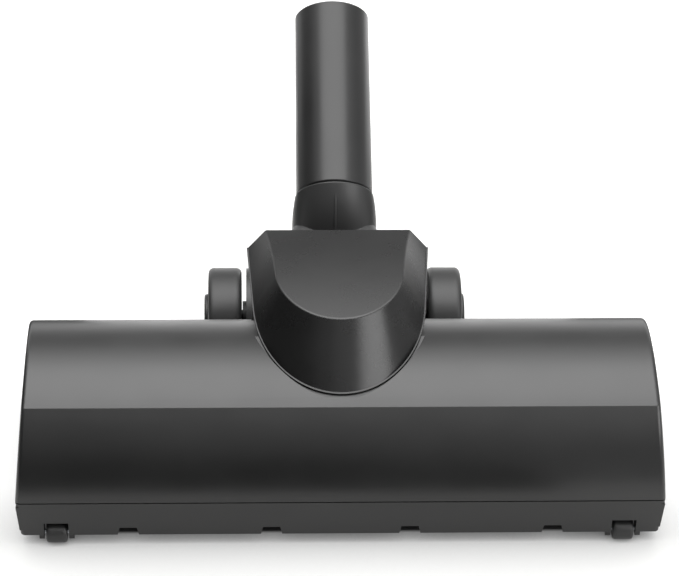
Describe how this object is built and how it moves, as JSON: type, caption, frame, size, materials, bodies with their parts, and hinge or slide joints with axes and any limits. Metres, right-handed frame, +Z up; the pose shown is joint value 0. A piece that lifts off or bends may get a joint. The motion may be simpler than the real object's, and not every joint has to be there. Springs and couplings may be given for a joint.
{
  "type": "vacuum floor brush head",
  "caption": "Air-driven vacuum floor brush head: half-round housing with a bevelled turbine hood, belt-driven brush roll, wheels, tilting neck and swivelling tube socket.",
  "frame": {"origin": "middle of the footprint on the floor, at rest", "axes": "+X along the body to the right seen from the front, +Y back towards the pipe, +Z up"},
  "size_m": [0.28, 0.2498, 0.1319],
  "materials": {
    "housing_plastic": "satin charcoal, fine moulded grain",
    "wheel_plastic": "satin charcoal",
    "tyre_rubber": "matte soft tread",
    "inner_plastic": "plain black moulding",
    "bristle": "nylon bristle",
    "bearing_bronze": "sintered bronze",
    "steel": "plain steel",
    "belt_rubber": "matte rubber",
    "felt": "pressed felt"
  },
  "bodies": {
    "housing": {"upper_housing": "housing_plastic", "lower_housing": "housing_plastic", "turbine_hood": "housing_plastic", "turbine_duct": "inner_plastic", "brush_bearing_left": "bearing_bronze", "brush_bearing_right": "bearing_bronze", "turbine_bearing_left": "bearing_bronze", "turbine_bearing_right": "bearing_bronze", "drive_belt": "belt_rubber", "rear_axle_left": "wheel_plastic", "rear_axle_right": "wheel_plastic", "front_axle_left": "steel", "front_axle_right": "steel", "housing_screws": "steel", "lint_strip": "felt"},
    "brush_roll": {"brush_core": "inner_plastic", "bristle_row_a": "bristle", "bristle_row_b": "bristle"},
    "turbine": {"turbine_wheel": "inner_plastic", "turbine_shaft": "steel", "turbine_pulley": "inner_plastic"},
    "neck": {"tilt_neck": "housing_plastic", "swivel_ring": "inner_plastic"},
    "pipe": {"connector_pipe": "housing_plastic"},
    "left_wheel": {"rear_wheel_left": "wheel_plastic", "rear_tyre_left": "tyre_rubber"},
    "right_wheel": {"rear_wheel_right": "wheel_plastic", "rear_tyre_right": "tyre_rubber"},
    "left_roller": {"front_roller_left": "wheel_plastic"},
    "right_roller": {"front_roller_right": "wheel_plastic"}
  },
  "joints": [
    {"name": "neck_tilt", "type": "hinge", "parent": "housing", "child": "neck", "pos_m": [0, 0.02027, 0.043], "axis": [1, 0, 0], "range_deg": [0, 55]},
    {"name": "pipe_swivel", "type": "hinge", "parent": "neck", "child": "pipe", "pos_m": [0, 0.03397, 0.0712], "axis": [0, 0.8746, 0.4848], "continuous": true},
    {"name": "brush_spin", "type": "hinge", "parent": "housing", "child": "brush_roll", "pos_m": [0, -0.08876, 0.029], "axis": [1, 0, 0], "continuous": true},
    {"name": "turbine_spin", "type": "hinge", "parent": "housing", "child": "turbine", "pos_m": [0, -0.04676, 0.062], "axis": [1, 0, 0], "continuous": true},
    {"name": "left_wheel_spin", "type": "hinge", "parent": "housing", "child": "left_wheel", "pos_m": [-0.0509, 0.00867, 0.022], "axis": [1, 0, 0], "continuous": true},
    {"name": "right_wheel_spin", "type": "hinge", "parent": "housing", "child": "right_wheel", "pos_m": [0.0509, 0.00867, 0.022], "axis": [1, 0, 0], "continuous": true},
    {"name": "left_roller_spin", "type": "hinge", "parent": "housing", "child": "left_roller", "pos_m": [-0.123, -0.12006, 0.005], "axis": [1, 0, 0], "continuous": true},
    {"name": "right_roller_spin", "type": "hinge", "parent": "housing", "child": "right_roller", "pos_m": [0.123, -0.12006, 0.005], "axis": [1, 0, 0], "continuous": true}
  ],
  "couplings": [
    {"joint": "turbine_spin", "follows": "brush_spin", "ratio": 2.25}
  ]
}
